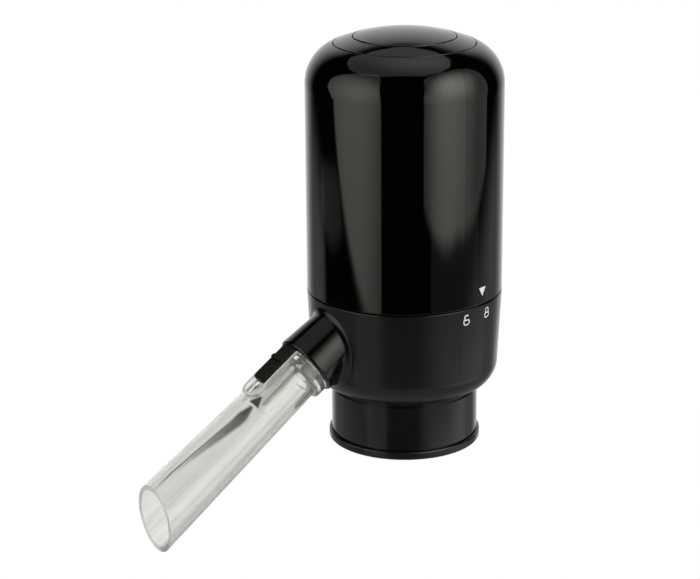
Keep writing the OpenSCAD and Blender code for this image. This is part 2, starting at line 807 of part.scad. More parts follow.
module pump_body() color("#cfd2cf") difference() {
    union() {
        translate([0, 0, z_pump_body]) linear_extrude(z_frame - z_pump_body) pump_outline();
        for (side = [-1, 1]) translate([port_x, 0, z_port]) rotate([-90 * side, 0, 0])
            cylinder(r = nipple_r, h = pump_r + nipple_reach);
    }
    gear_pockets(z_pump_body - over, z_gear + gear_w + gear_side_gap);
    for (side = [-1, 1]) translate([port_x, 0, z_port]) rotate([-90 * side, 0, 0])
        cylinder(r = nipple_bore_r, h = pump_r + nipple_reach + over);
    post(shaft_r + fit_gap, z_gear, z_frame + over);
    post(seal_r, z_frame - seal_h, z_frame + over);
    translate([gear_centre, 0, 0])
        post(idler_pin_r + turn_gap, z_gear, z_gear + gear_w + idler_pin_in + rest_gap);
    at_ears() post(pump_screw_r + fit_gap, z_pump_body - over, z_frame + over);
}

module pump_cover() color("#c3c6c3") difference() {
    translate([0, 0, z_pump_cover]) linear_extrude(pump_cover_t) pump_outline();
    translate([gear_centre, 0, 0])
        post(idler_pin_r + turn_gap, z_gasket - idler_pin_in, z_gasket + over);
    at_ears() post(pump_screw_r + fit_gap, z_pump_cover - over, z_gasket + over);
}

module pump_gasket() color("#a33b2e") difference() {
    translate([0, 0, z_gasket]) linear_extrude(gasket_t) pump_outline();
    gear_pockets(z_gasket - over, z_pump_body + over);
    translate([port_x, 0, z_gasket - over]) post(pocket_r / 2, 0, gasket_t + 2 * over);
    at_ears() post(pump_screw_r + fit_gap, z_gasket - over, z_pump_body + over);
}

module pump_screws() color("silver") at_ears() translate([0, 0, z_pump_cover]) mirror([0, 0, 1])
    screw(0, pump_screw_r, z_motor - z_pump_cover - rest_gap, pump_head_r, pump_head_h);

module shaft_seal() color("#222222") difference() {
    post(seal_r - turn_gap, z_frame - seal_h, z_frame - turn_gap);
    post(shaft_r + turn_gap, z_frame - seal_h - over, z_frame + over);
}

module idler_pin() color("silver") translate([gear_centre, 0, 0])
    post(idler_pin_r, z_gasket - idler_pin_in + turn_gap, z_gear + gear_w + idler_pin_in);

module idler_gear() color("ivory") translate([gear_centre, 0, z_gear]) difference() {
    rotate(180 / gear_teeth + 180) linear_extrude(gear_w) gear_outline();
    post(idler_pin_r + turn_gap, -over, gear_w + over);
}

module drive_gear() color("ivory") translate([0, 0, z_gear]) difference() {
    linear_extrude(gear_w) gear_outline();
    post(shaft_r + turn_gap / 2, -over, gear_w + over);
}

// Motor

module motor_shaft() color("silver")
    post(shaft_r, z_gear + rest_gap, z_motor + motor_len + bell_h - bell_skin - fit_gap);

module motor_can() color("#b9bcbe") difference() {
    union() {
        post(motor_r, z_motor, z_motor + motor_len);
        post(motor_boss_r, z_motor - motor_boss_h, z_motor + eps);
    }
    post(shaft_r + fit_gap, z_motor - motor_boss_h - over, z_motor + can_t + over);
    post(can_r_in, z_motor + can_t, z_motor + motor_len + over);
}

module motor_magnets() color("#55585a") for (a = spread(2))
    sector(rotor_r + rotor_gap, can_r_in - fit_gap, z_motor + rotor_lift,
        z_motor + rotor_lift + rotor_h, a - magnet_angle / 2, a + magnet_angle / 2);

// Outline of the rotor's poles, with their curved shoes
module rotor_outline() {
    shoe_r = rotor_r - rotor_shoe_t;
    far = rotor_r / cos(rotor_shoe_angle / 2) + over;
    circle(r = rotor_core_r + rest_gap);
    for (a = spread(rotor_poles)) rotate(a) {
        translate([0, -rotor_arm_w / 2]) square([rotor_r - rotor_shoe_t / 2, rotor_arm_w]);
        intersection() {
            difference() {
                circle(r = rotor_r);
                circle(r = shoe_r);
            }
            polygon([[0, 0], polar(far, -rotor_shoe_angle / 2), polar(far, rotor_shoe_angle / 2)]);
        }
    }
}

// Wound poles and the commutator
module motor_rotor() color("#9a5a2c") {
    z_core = z_motor + rotor_lift;
    z_stack = z_core + rotor_h;
    difference() {
        union() {
            translate([0, 0, z_core]) linear_extrude(rotor_h) rotor_outline();
            post(rotor_core_r, z_stack - over, z_stack + commutator_h);
        }
        post(shaft_r + turn_gap / 2, z_core - over, z_stack + commutator_h + over);
    }
}

module motor_end_bell() color("#26292b") {
    z_bell = z_motor + motor_len;
    difference() {
        post(can_r_in - turn_gap, z_bell - bell_plug, z_bell + bell_h);
        post(shaft_r + fit_gap, z_bell - bell_plug - over, z_bell + bell_h - bell_skin);
    }
    for (x = [-lead_x, lead_x])
        translate([x - terminal.x / 2, -terminal.y / 2, z_bell + bell_h - eps]) cube(terminal);
}

// A lead from a motor terminal up to the board
function lead_path(side) = let (z0 = z_motor + motor_len + bell_h + terminal.z + lead_r / 2,
        z1 = z_board - slide_gap, x = side * lead_x, bow = side * lead_bow)
    curve([x, 0, z0], [x + bow, bow, z0 + (z1 - z0) / 3], [x - bow, bow, z1 - (z1 - z0) / 3],
        [x, 0, z1], lead_steps);

module motor_leads() color("#8c2a22") for (side = [-1, 1])
    swept_rod(lead_path(side), lead_r, lead_sides, [1, 0, 0]);

// Inner frame

// Outline of the cradles that hold the cells
module cradles() difference() {
    intersection() {
        around(cell_angles, cell_circle) circle(r = cell_r + cell_gap + cradle_t);
        circle(r = cell_circle + cell_r / 2);
    }
    around(cell_angles, cell_circle) circle(r = cell_r + cell_gap);
}

module inner_frame() color("#3f4245") {
    z_sleeve = z_motor + motor_len + fit_gap;
    z_under_cells = z_cell_floor - cell_floor_t;
    difference() {
        union() {
            rotate_extrude() polygon([[motor_boss_r + slide_gap, z_frame], [frame_r, z_frame],
                [frame_r, z_motor], [sleeve_r, z_motor], [sleeve_r, z_under_cells],
                [frame_r, z_under_cells], [frame_r, z_cell_floor], [sleeve_r, z_cell_floor],
                [sleeve_r, z_sleeve], [sleeve_r_in, z_sleeve], [sleeve_r_in, z_motor],
                [motor_boss_r + slide_gap, z_motor]]);
            around(spread(4), frame_post_circle) post(frame_post_r, z_motor - over, z_cap);
            difference() {
                translate([0, 0, z_cell_floor - over]) linear_extrude(cradle_h + over) cradles();
                link(1, 2, z_cell_floor - 2 * over, link_w + 2 * slide_gap,
                    contact_t + slide_gap + 2 * over);
            }
        }
        post(sleeve_r_in, z_motor + over, z_sleeve + over);
        at_ears() post(pump_screw_r + turn_gap, z_frame - over, z_motor + over);
        around(mount_post_angles, mount_post_circle) {
            post(m3_r + fit_gap, z_frame - over, z_motor + over);
            post(m3_head_r + head_gap, z_under_cells - over, z_cell_floor + over);
        }
        around(spread(4), frame_post_circle)
            post(m3_r + turn_gap, z_cap - cap_hole_depth, z_cap + over);
    }
    for (a = spread(3)) sector(can_r_in + rest_gap, sleeve_r - fit_gap, z_sleeve - turn_gap,
        z_sleeve + hook_t, a - hook_angle / 2, a + hook_angle / 2);
}

module frame_screws() color("silver") around(mount_post_angles, mount_post_circle)
    screw(z_motor, m3_r, frame_t + frame_screw_in, m3_head_r, m3_head_h);

// Cells and contacts

// Cell at one of the four places; every second one stands with its button down
module battery(i) {
    up = i % 2 == 0;
    around([cell_angles[i]], cell_circle)
        translate([0, 0, up ? z_contact + spring_h : z_contact + cell_len])
        rotate([up ? 0 : 180, 0, 0]) {
            cylinder(r = cell_r, h = cell_len - cell_cap_h);
            cylinder(r = cell_cap_r, h = cell_len);
        }
}

module battery_1() color("#b8862f") battery(0);
module battery_2() color("#b8862f") battery(1);
module battery_3() color("#b8862f") battery(2);
module battery_4() color("#b8862f") battery(3);

contact_coil_r = contact_r - contact_coil_in;
contact_coil = helix(contact_coil_r, contact_coil_r - contact_coil_narrow,
    contact_wire_r + turn_gap, spring_h - contact_wire_r - turn_gap, contact_turns);
echo(contact_spring_gap = coil_gap(contact_coil, contact_wire_r));

module contact_springs() color("silver") for (i = [0 : 3])
    around([cell_angles[i]], cell_circle)
        if (i % 2 == 0) translate([0, 0, z_contact])
            swept_rod(contact_coil, contact_wire_r, wire_sides);
        else translate([0, 0, z_contact + cell_len + spring_h]) rotate([180, 0, 0])
            swept_rod(contact_coil, contact_wire_r, wire_sides);

// Contact pad for one cell, and a link between two
module pad(i, z) around([cell_angles[i]], cell_circle) post(contact_r, z, z + contact_t);
module link(i, j, z, w = link_w, t = contact_t) {
    a = polar(cell_circle, cell_angles[i]);
    b = polar(cell_circle, cell_angles[j]);
    translate([0, 0, z]) linear_extrude(t) translate((a + b) / 2)
        rotate(atan2(b.y - a.y, b.x - a.x)) square([norm(b - a), w], center = true);
}

module contact_plates() color("#c9cbcc") {
    z_upper = z_cap - contact_t;
    for (i = [0 : 3]) {
        pad(i, z_cell_floor);
        pad(i, z_upper);
    }
    link(0, 1, z_upper);
    link(2, 3, z_upper);
    link(1, 2, z_cell_floor);
}

module battery_cap() color("#3f4245") difference() {
    union() {
        post(frame_r, z_cap, z_cap + cap_t);
        around(board_post_angles, board_post_circle)
            post(board_post_r, z_cap + cap_t - eps, z_board);
    }
    post(cap_hole_r, z_cap - over, z_cap + cap_t + over);
    around(spread(4), frame_post_circle) post(m3_r + fit_gap, z_cap - over, z_cap + cap_t + over);
    around(board_post_angles, board_post_circle) post(m2_r + turn_gap, z_cap + over, z_board + over);
}

module cap_screws() color("silver") around(spread(4), frame_post_circle)
    screw(z_cap + cap_t, m3_r, cap_t + cap_screw_in, m3_head_r, m3_head_h);

// Board and switch

module circuit_board() color("#1d5c3a") difference() {
    post(board_r, z_board, z_board + board_t);
    around(board_post_angles, board_post_circle) post(m2_r + fit_gap, z_board - over, z_switch + over);
}

module board_screws() color("silver") around(board_post_angles, board_post_circle)
    screw(z_switch, m2_r, board_t + board_post_h, m2_head_r, m2_head_h);

module switch_body() color("#222222") difference() {
    translate([-switch_w / 2, -switch_w / 2, z_switch]) cube([switch_w, switch_w, switch_h]);
    post(plunger_r + fit_gap, z_switch + switch_floor_t, z_switch + switch_h + over);
}

module switch_plunger() color("#e7e7e2")
    post(plunger_r, z_switch + switch_floor_t + button_travel + fit_gap, z_plunger);

// Hoses

module suction_hose() color("#dfe2df") {
    start = [0, inlet_r + hose_end_gap, z_elbow];
    end = [port_x, pump_r + hose_end_gap, z_port];
    path = concat([start], curve(start + [0, nipple_len - over, 0], start + [0, hose_reach, 0],
        end + [0, hose_reach, 0], end + [0, nipple_reach - over, 0], hose_steps), [end]);
    swept_tube(path, hose_r, hose_bore_r, hose_sides, [1, 0, 0]);
}

module delivery_hose() color("#dfe2df") {
    y_end = -pump_r - hose_end_gap;
    translate([port_x, y_end, z_port]) rotate([90, 0, 0]) difference() {
        cylinder(r = hose_r, h = y_end - hose_back_y);
        post(nipple_r + fit_gap, -over, y_end - hose_back_y + over);
    }
}

// Spout and slider

// Extrudes an outline drawn across and along the spout, between two heights above its axis
module above_spout(u0, u1)
    rotate([90, 0, 0]) translate([0, 0, -u1]) linear_extrude(u1 - u0) children();

// Outline of the slider's track, with a rounded outer end
module track_outline(w, s0, s1, r) {
    translate([-w / 2, s0]) square([w, s1 - s0 - r]);
    translate([-w / 2 + r, s0]) square([w - 2 * r, s1 - s0]);
    for (x = [-1, 1]) translate([x * (w / 2 - r), s1 - r]) circle(r = r);
}

// Half of the spout's revolved bore, from the throat outwards, with the step inside it
module bore_outline() {
    r_tube = spout_r - spout_wall;
    r_step = r_tube + (s_step - s_tube) * tan(spout_taper);
    r_end = spout_r_end - spout_wall;
    s_end = s_tube + tube_reach + eps;
    polygon([[0, s_throat], [spigot_bore_r, s_throat], [r_tube - bore_step, s_tube],
        [r_step - bore_step, s_step], [r_step, s_step], [r_end, s_end], [0, s_end]]);
}

module spout_tube() color("#d5d8d2", 0.45) at_spout() difference() {
    union() {
        difference() {
            union() {
                post(spigot_r, s_spigot, s_flange + eps);
                rotate_extrude()
                    taper_outline(spout_flange_d / 2, s_flange, spout_flange_d / 2, s_tube, flange_round);
                translate([0, 0, s_tube - eps])
                    cylinder(r1 = spout_r, r2 = spout_r_end, h = tube_reach + eps);
                above_spout(spout_r - track_root, track_top)
                    track_outline(track_w, s_flange, s_track_end, track_round);
            }
            post(spigot_bore_r, s_spigot - over, s_throat + eps);
            rotate_extrude() bore_outline();
        }
        translate([-shelf_half, shelf_u, shelf_s]) cube([2 * shelf_half, shelf_plate, shelf_len]);
        translate([-air_stop_half, shelf_u + eps, shelf_s])
            cube([2 * air_stop_half, track_floor - shelf_u - 2 * eps, air_stop_t]);
    }
    above_spout(shelf_u + shelf_plate + eps, track_floor + over)
        translate([0, air_hole_s]) circle(r = air_hole_r);
    above_spout(track_floor, track_top + over)
        track_outline(track_in_w, s_tongue - slide_gap, s_track_end - track_wall, track_in_round);
    rotate_extrude() translate([oring_centre_r - oring_r, oring_s - oring_r - oring_play])
        square([2 * oring_r + over, 2 * (oring_r + oring_play)]);
    translate([0, 0, s_outlet]) rotate([-outlet_slant, 0, 0])
        translate([-body_r, -body_r, 0]) cube(2 * body_r);
}

module spout_oring() color("#222222") at_spout() rotate_extrude()
    translate([oring_centre_r + turn_gap / 2, oring_s]) circle(r = oring_r - turn_gap / 2);

module venturi_nozzle() color("#c8ccc6") at_spout() difference() {
    union() {
        post(spigot_bore_r - turn_gap, nozzle_disc_s, nozzle_disc_s + nozzle_disc_t);
        translate([0, nozzle_u, 0])
            post(nozzle_r, nozzle_disc_s, nozzle_disc_s + nozzle_disc_t + nozzle_len);
    }
    translate([0, nozzle_u, 0])
        post(nozzle_bore_r, nozzle_disc_s - over, nozzle_disc_s + nozzle_disc_t + nozzle_len + over);
}

module spout_slider() color("#101011") at_spout() {
    above_spout(slider_bottom, tongue_top)
        track_outline(slider_w, s_tongue, s_slider_end, slider_round);
    above_spout(tongue_top - eps, slider_top)
        track_outline(slider_w, s_rim + slide_gap, s_slider_end, slider_round);
    above_spout(slider_top - eps, slider_top + ridge_h)
        translate([-slider_w / 2, s_rim + ridge_in]) square([slider_w, ridge_len]);
}

cover_shell();
button_bezel();
power_button();
button_spring();
button_clip();
lower_housing();
bottle_collar();
base_ring();
collar_screws();
bottle_stopper();
inlet_fitting();
suction_hose();
delivery_hose();
pump_body();
pump_cover();
pump_gasket();
pump_screws();
shaft_seal();
idler_pin();
idler_gear();
drive_gear();
motor_shaft();
motor_can();
motor_magnets();
motor_rotor();
motor_end_bell();
motor_leads();
inner_frame();
frame_screws();
battery_1();
battery_2();
battery_3();
battery_4();
contact_springs();
contact_plates();
battery_cap();
cap_screws();
circuit_board();
board_screws();
switch_body();
switch_plunger();
spout_tube();
spout_oring();
venturi_nozzle();
spout_slider();
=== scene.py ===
"""Electric wine aerator: looks, light and camera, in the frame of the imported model."""
import json
import math

import bmesh
import bpy
from mathutils import Matrix, Vector


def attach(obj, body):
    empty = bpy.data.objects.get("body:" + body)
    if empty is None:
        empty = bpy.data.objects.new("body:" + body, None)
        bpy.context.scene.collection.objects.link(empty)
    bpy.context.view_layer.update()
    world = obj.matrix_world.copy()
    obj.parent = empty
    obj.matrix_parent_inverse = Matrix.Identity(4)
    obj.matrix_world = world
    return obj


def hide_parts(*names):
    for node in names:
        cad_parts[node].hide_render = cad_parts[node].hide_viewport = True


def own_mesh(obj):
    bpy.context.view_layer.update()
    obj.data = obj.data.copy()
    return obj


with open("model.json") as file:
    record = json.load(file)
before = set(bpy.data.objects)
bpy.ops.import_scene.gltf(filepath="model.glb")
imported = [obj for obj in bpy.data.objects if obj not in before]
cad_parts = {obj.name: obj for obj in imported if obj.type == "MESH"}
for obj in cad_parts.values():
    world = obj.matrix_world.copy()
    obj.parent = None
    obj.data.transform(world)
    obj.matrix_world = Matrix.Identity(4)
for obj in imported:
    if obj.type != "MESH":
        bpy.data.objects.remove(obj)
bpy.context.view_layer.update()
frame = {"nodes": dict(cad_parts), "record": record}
nodes = frame["nodes"]
scene = bpy.context.scene
scene.view_settings.view_transform = "Standard"

MM = 0.001
FACING = math.radians(54)


def studio(x, y, z):
    """A point given with -Y towards the camera and +X to its right, in the part's frame."""
    return Matrix.Rotation(FACING, 3, "Z") @ Vector((x, y, z))


# Camera

def make_camera():
    lens, distance = 113.47, 0.812557
    elevation, yaw, pitch, roll = (math.radians(a) for a in (17.205, -1.412, -0.899, 0.039))
    target = Vector((0, 0, 0.055))
    back = Vector((0, -math.cos(elevation), math.sin(elevation)))
    ahead, right = -back, Vector((1, 0, 0))
    up = right.cross(ahead)
    ahead, right = (ahead * math.cos(yaw) + right * math.sin(yaw),
                    right * math.cos(yaw) - ahead * math.sin(yaw))
    ahead, up = (ahead * math.cos(pitch) + up * math.sin(pitch),
                 up * math.cos(pitch) - ahead * math.sin(pitch))
    right, up = (right * math.cos(roll) + up * math.sin(roll),
                 up * math.cos(roll) - right * math.sin(roll))
    data = bpy.data.cameras.new("camera")
    data.sensor_width = 36
    data.lens = lens
    data.clip_start, data.clip_end = 0.05, 20
    camera = bpy.data.objects.new("camera", data)
    scene.collection.objects.link(camera)
    turn = Matrix.Rotation(FACING, 3, "Z")
    axes = turn @ Matrix((right, up, -ahead)).transposed()
    place = turn @ (target + back * distance)
    camera.matrix_world = Matrix.Translation(place) @ axes.to_4x4()
    scene.camera = camera


make_camera()


# Light

class Tree:
    """A node tree with short calls for the nodes that the materials use."""

    def __init__(self, tree):
        self.tree = tree

    def add(self, kind, **values):
        node = self.tree.nodes.new(kind)
        for key, value in values.items():
            setattr(node, key, value)
        return node

    def feed(self, socket, value):
        if isinstance(value, bpy.types.NodeSocket):
            self.tree.links.new(value, socket)
        else:
            socket.default_value = value

    def math(self, operation, *values):
        node = self.add("ShaderNodeMath", operation=operation)
        for socket, value in zip(node.inputs, values):
            self.feed(socket, value)
        return node.outputs[0]

    def fold(self, operation, values):
        """One value from many, by an operation on two."""
        result = values[0]
        for value in values[1:]:
            result = self.math(operation, result, value)
        return result

    def times(self, *values):
        return self.fold("MULTIPLY", values)

    def most(self, *values):
        return self.fold("MAXIMUM", values)

    def vector(self, operation, *values):
        node = self.add("ShaderNodeVectorMath", operation=operation)
        for socket, value in zip(node.inputs, values):
            self.feed(socket, value)
        return node.outputs["Value" if operation in ("DOT_PRODUCT", "LENGTH") else "Vector"]

    def ramp(self, value, low, high, to_low=0.0, to_high=1.0, kind="SMOOTHSTEP"):
        node = self.add("ShaderNodeMapRange", interpolation_type=kind)
        for name, number in (("Value", value), ("From Min", low), ("From Max", high),
                             ("To Min", to_low), ("To Max", to_high)):
            self.feed(node.inputs[name], number)
        return node.outputs["Result"]

    def mix(self, factor, first, second):
        node = self.add("ShaderNodeMix", data_type="RGBA")
        self.feed(node.inputs["Factor"], factor)
        self.feed(node.inputs[6], first)
        self.feed(node.inputs[7], second)
        return node.outputs[2]

    def noise(self, place, scale, detail=2.0, roughness=0.5):
        node = self.add("ShaderNodeTexNoise")
        self.feed(node.inputs["Vector"], place)
        self.feed(node.inputs["Scale"], scale)
        self.feed(node.inputs["Detail"], detail)
        self.feed(node.inputs["Roughness"], roughness)
        return node.outputs["Fac"]


def panel(name, foot, across, up, outline, radiance, glows=(), rise=None, soft=0.03, depth=0.0,
          tint=(1.0, 1.0, 1.0)):
    """An area lamp in the shape of a convex outline of (across, up) pairs measured from foot.

    radiance is its least brightness; each glow is (across, up, radius, more) and adds to it. rise is
    (across, up, across, up): a line, flat past its ends, that the lamp doesn't reach below. soft is the
    width of its faded edge. depth moves the lamp away, because two lamps in one plane would hide each
    other."""
    us, vs = [u for u, _ in outline], [v for _, v in outline]
    width, height = max(us) - min(us) + 2 * soft, max(vs) - min(vs) + 2 * soft
    mid_u, mid_v = (max(us) + min(us)) / 2, (max(vs) + min(vs)) / 2
    middle = foot + across * mid_u + up * mid_v
    out, side = across.cross(up), 1.0
    if out.dot(middle) < 0:
        across, out, side = -across, -out, -1.0
    data = bpy.data.lights.new(name, "AREA")
    data.shape = "RECTANGLE"
    data.size, data.size_y = width, height
    data.energy = math.pi * width * height
    data.color = tint
    data.use_nodes = True
    tree = Tree(data.node_tree)
    emission = next(n for n in data.node_tree.nodes if n.type == "EMISSION")
    parts = tree.add("ShaderNodeSeparateXYZ")
    tree.feed(parts.inputs[0], tree.add("ShaderNodeNewGeometry").outputs["Parametric"])
    u = tree.math("MULTIPLY_ADD", parts.outputs[0], side * width, mid_u - side * width / 2)
    v = tree.math("MULTIPLY_ADD", parts.outputs[1], height, mid_v - height / 2)
    strength = radiance
    for glow_u, glow_v, glow_r, more in glows:
        off = tree.math("SQRT", tree.math("ADD",
                        tree.math("POWER", tree.math("SUBTRACT", u, glow_u), 2.0),
                        tree.math("POWER", tree.math("SUBTRACT", v, glow_v), 2.0)))
        strength = tree.math("ADD", tree.ramp(off, 0.0, glow_r, more, 0.0), strength)
    for (u0, v0), (u1, v1) in zip(outline, outline[1:] + outline[:1]):
        length = math.hypot(u1 - u0, v1 - v0)
        nu, nv = (v0 - v1) / length, (u1 - u0) / length
        inside = tree.math("MULTIPLY_ADD", u, nu,
                           tree.math("MULTIPLY_ADD", v, nv, -(nu * u0 + nv * v0)))
        strength = tree.math("MULTIPLY", tree.ramp(inside, -soft / 2, soft / 2), strength)
    if rise:
        edge = tree.math("SUBTRACT", v, tree.ramp(u, rise[0], rise[2], rise[1], rise[3], "LINEAR"))
        strength = tree.math("MULTIPLY", tree.ramp(edge, -soft / 3, soft / 3), strength)
    tree.feed(emission.inputs["Strength"], strength)
    lamp = bpy.data.objects.new(name, data)
    scene.collection.objects.link(lamp)
    lamp.visible_camera = False
    axes = Matrix((across, up, out)).transposed()
    lamp.matrix_world = Matrix.Translation(middle + out * depth) @ axes.to_4x4()


def upright(name, near, far, *shape, **more):
    """A lamp that stands on the line from near to far, (x, y) points of the studio's frame in metres."""
    foot, end = studio(*near, 0), studio(*far, 0)
    panel(name, foot, (end - foot).normalized(), Vector((0, 0, 1)), *shape, **more)


LEFT, RIGHT = ((-0.446, -0.839), (-0.796, 0.084)), ((0.386, -0.868), (0.782, 0.166))
WARM = (1.0, 1.0, 0.91)
upright("softbox_left", *LEFT,
        [(-0.04, -0.31), (0.50, -0.165), (0.72, -0.112), (0.85, -0.055), (1.0, 0.20), (1.02, 0.37),
         (0.98, 0.54), (0.82, 0.79), (0.61, 1.06), (0.35, 1.35), (0.13, 1.06), (-0.04, 0.20)],
        0.46, [(0.42, 0.25, 0.80, 1.52)], tint=WARM)
upright("bounce_left", *LEFT, [(-0.04, -0.65), (0.50, -0.65), (0.50, -0.22), (-0.04, -0.31)], 0.27, depth=0.02)
upright("edge_left", *LEFT, [(0.70, -0.145), (1.05, -0.19), (1.30, -0.20), (1.30, -0.17), (0.98, -0.117),
                             (0.80, -0.106)], 0.20, depth=0.04)
upright("softbox_right", *RIGHT,
        [(-0.06, -0.25), (1.17, -0.25), (1.20, 0.19), (1.20, 0.57), (1.16, 0.85), (0.96, 1.05), (0.62, 1.17),
         (0.28, 1.20), (0.10, 1.11), (-0.06, 0.20)], 0.42,
        [(0.42, 0.15, 0.60, 1.94), (0.56, 0.55, 0.55, 2.5)], rise=(-0.06, -0.19, 0.60, -0.121), tint=WARM)
upright("bounce_right", *RIGHT, [(-0.25, -0.75), (1.35, -0.75), (1.35, -0.26), (-0.25, -0.29)], 0.0,
        [(0.75, -0.42, 0.90, 0.75)], soft=0.04, depth=0.02)
upright("haze_right", *RIGHT, [(0.10, -0.26), (1.0, -0.26), (1.0, -0.12), (0.10, -0.15)], 0.11, depth=0.04)
panel("softbox_top", studio(0, 0, 1.13), studio(1, 0, 0), studio(0, 1, 0),
      [(-0.45, -0.55), (0.35, -0.55), (0.60, -0.25), (0.64, 0.12), (0.54, 0.35), (0.43, 0.60), (0.27, 0.93),
       (0.0, 1.0), (-0.30, 0.97), (-0.55, 0.79), (-0.80, 0.40), (-0.93, 0.08), (-0.85, -0.30)],
      0.40, [(0.20, 0.15, 0.80, 0.55)])


def make_world():
    """What the gloss mirrors: a white wall behind the object, a pale table below it, and dark in front.

    The camera sees plain white, and so do the rays that pass through the spout to the back."""
    world = bpy.data.worlds.new("studio")
    scene.world = world
    world.use_nodes = True
    tree = Tree(world.node_tree)
    background = next(n for n in world.node_tree.nodes if n.type == "BACKGROUND")
    direction = tree.add("ShaderNodeTexCoord").outputs["Generated"]
    behind = tree.vector("DOT_PRODUCT", direction, tuple(studio(0, 1, 0)))
    parts = tree.add("ShaderNodeSeparateXYZ")
    tree.feed(parts.inputs[0], direction)
    height = parts.outputs[2]
    wall = tree.math("MULTIPLY", tree.ramp(behind, 0.60, 0.95, 0.004, 0.92),
                     tree.ramp(height, 0.58, 0.68, 1.0, 0.02))
    table_slope, table_start = -9.4, 2.96
    below = tree.math("MULTIPLY_ADD", height, table_slope, tree.math("SUBTRACT", behind, table_start))
    table = tree.math("MULTIPLY", tree.ramp(below, -0.33, 0.25, 0.0, 0.36),
                      tree.ramp(behind, 0.50, 0.80, 1.0, 0.25))
    # In front on the left, only rays that go steeply down see the table.
    rightward = tree.vector("DOT_PRODUCT", direction, tuple(studio(1, 0, 0)))
    shown = tree.math("MAXIMUM", tree.ramp(rightward, -0.1, 0.1),
                      tree.ramp(height, -0.345, -0.315, 1.0, 0.0))
    table = tree.math("MULTIPLY", table, tree.math("MAXIMUM", tree.ramp(behind, 0.20, 0.35), shown))
    light = tree.math("ADD", wall, table)
    path = tree.add("ShaderNodeLightPath")
    through = tree.math("MULTIPLY", path.outputs["Is Transmission Ray"], tree.ramp(behind, -0.9, -0.1))
    clear = tree.math("MAXIMUM", path.outputs["Is Camera Ray"], through)
    tree.feed(background.inputs["Strength"], tree.math("MAXIMUM", light, clear))
    background.inputs["Color"].default_value = (1, 1, 1, 1)


make_world()


def make_floor():
    """A pale round floor where the bottle would stand. It fades into the white, and is clear from below."""
    radius, height, rings, sides = 0.48, -0.30, 6, 96
    points, faces = [(0, 0, height)], []
    for ring in range(1, rings + 1):
        for side in range(sides):
            angle = 2 * math.pi * side / sides
            points.append((radius * ring / rings * math.cos(angle),
                           radius * ring / rings * math.sin(angle), height))
    for side in range(sides):
        after = (side + 1) % sides
        faces.append((0, 1 + side, 1 + after))
        for ring in range(rings - 1):
            low, high = 1 + ring * sides, 1 + (ring + 1) * sides
            faces.append((low + side, high + side, high + after, low + after))
    mesh = bpy.data.meshes.new("floor")
    mesh.from_pydata(points, [], faces)
    floor = bpy.data.objects.new("floor", mesh)
    scene.collection.objects.link(floor)
    mat = bpy.data.materials.new("pale_floor")
    mat.use_nodes = True
    tree = Tree(mat.node_tree)
    mat.node_tree.nodes.clear()
    place = tree.add("ShaderNodeTexCoord").outputs["Object"]
    grain = tree.noise(place, 40.0, 4.0)
    diffuse = tree.add("ShaderNodeBsdfDiffuse")
    tree.feed(diffuse.inputs["Color"], tree.mix(grain, (0.78, 0.78, 0.77, 1), (0.82, 0.82, 0.81, 1)))
    white = tree.add("ShaderNodeEmission")
    white.inputs["Color"].default_value = (1, 1, 1, 1)
    path = tree.add("ShaderNodeLightPath")
    seen = tree.math("MAXIMUM", path.outputs["Is Camera Ray"], path.outputs["Is Transmission Ray"])
    flat = tree.vector("MULTIPLY", place, (1.0, 1.0, 0.0))
    fade_from, fade_to, least_white = 0.10, radius * 0.97, 0.55
    edge = tree.ramp(tree.vector("LENGTH", flat), fade_from, fade_to, least_white, 1.0)
    shown = tree.add("ShaderNodeMixShader")
    tree.feed(shown.inputs[0], tree.math("MULTIPLY", seen, edge))
    tree.feed(shown.inputs[1], diffuse.outputs[0])
    tree.feed(shown.inputs[2], white.outputs[0])
    sided = tree.add("ShaderNodeMixShader")
    tree.feed(sided.inputs[0], tree.add("ShaderNodeNewGeometry").outputs["Backfacing"])
    tree.feed(sided.inputs[1], shown.outputs[0])
    tree.feed(sided.inputs[2], tree.add("ShaderNodeBsdfTransparent").outputs[0])
    out = tree.add("ShaderNodeOutputMaterial")
    tree.feed(out.inputs["Surface"], sided.outputs[0])
    mesh.materials.append(mat)


make_floor()


# Shapes of the part, in millimetres

BODY_R, Z_SEAM, Z_CORNER, CORNER_R = 36.0, 43.2, 16.0, 10.0
DRAFT = math.radians(2.85)
Z_SPOUT, TILT = 50.8, math.radians(34)
BOSS = ((34.22, 10.6), (53.624, 12.0))
CORNER_X = BODY_R - CORNER_R / math.cos(DRAFT) - (Z_SEAM - Z_CORNER) * math.tan(DRAFT)
SPOUT_FOOT = Vector((0, 0, Z_SPOUT))
SPOUT_AXIS = Vector((0, -math.cos(TILT), -math.sin(TILT)))
SPOUT_UP = Vector((0, -math.sin(TILT), math.cos(TILT)))
TUBE_S, TUBE_R, TUBE_WALL, TUBE_WIDENS = 58.62, 9.1, 1.6, math.tan(math.radians(1.5))
OUTLET_S, OUTLET_SLANT = 131.02, math.radians(28.6)
TRACK_END_S, TRACK_HALF, TRACK_TOP, SHELF_U = 77.6, 4.7, 10.15, 4.4
HOSE_R, HOSE_BORE, OUTLET_BORE, LEAD_R = 3.9, 2.45, 2.3, 0.6
INLET_END, PUMP_END = Vector((0, 5.1, 12.4)), Vector((6, 10.3, 27.5))
INLET_NIPPLE, PUMP_NIPPLE, HOSE_REACH = Vector((0, 6, 0)), Vector((0, 5.5, 0)), Vector((0, 22, 0))
OUTLET_HOSE_Y = (-10.3, -22.63)
LEAD_X, LEAD_BOW, LEAD_Z = 7.0, 1.2, (74.4, 107.7)
CELL_Z = (48.05, 96.45)


# Materials

